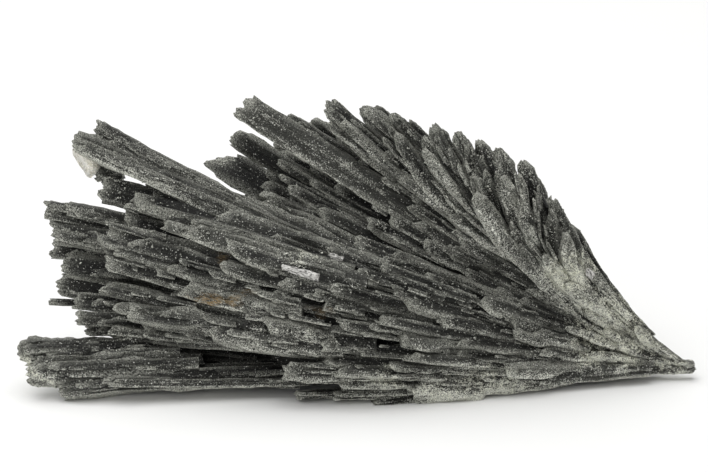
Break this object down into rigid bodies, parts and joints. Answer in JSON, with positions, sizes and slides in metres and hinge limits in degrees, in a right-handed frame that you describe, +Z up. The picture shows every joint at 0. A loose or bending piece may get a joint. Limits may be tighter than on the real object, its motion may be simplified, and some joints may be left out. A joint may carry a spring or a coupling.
{
  "type": "black kyanite fan",
  "caption": "Natural spray of flat black kyanite blades that grew out of one root, standing on its lower edge, with a grain of clear quartz.",
  "frame": {"origin": "bottom centre of the bounding box, on the surface that the fan stands on", "axes": "+X along the blades' length towards the root they grew from, -Y out of the front face, +Z up"},
  "size_m": [0.1092, 0.036, 0.0453],
  "materials": {
    "black_kyanite": "dark grey-black bladed mineral, finely ridged along each blade, with pale mica dust and a few rust stains",
    "clear_quartz": "milky clear quartz grain, glossy broken faces"
  },
  "bodies": {
    "root": {"kyanite_fan": "black_kyanite", "quartz_grain": "clear_quartz"}
  },
  "joints": []
}
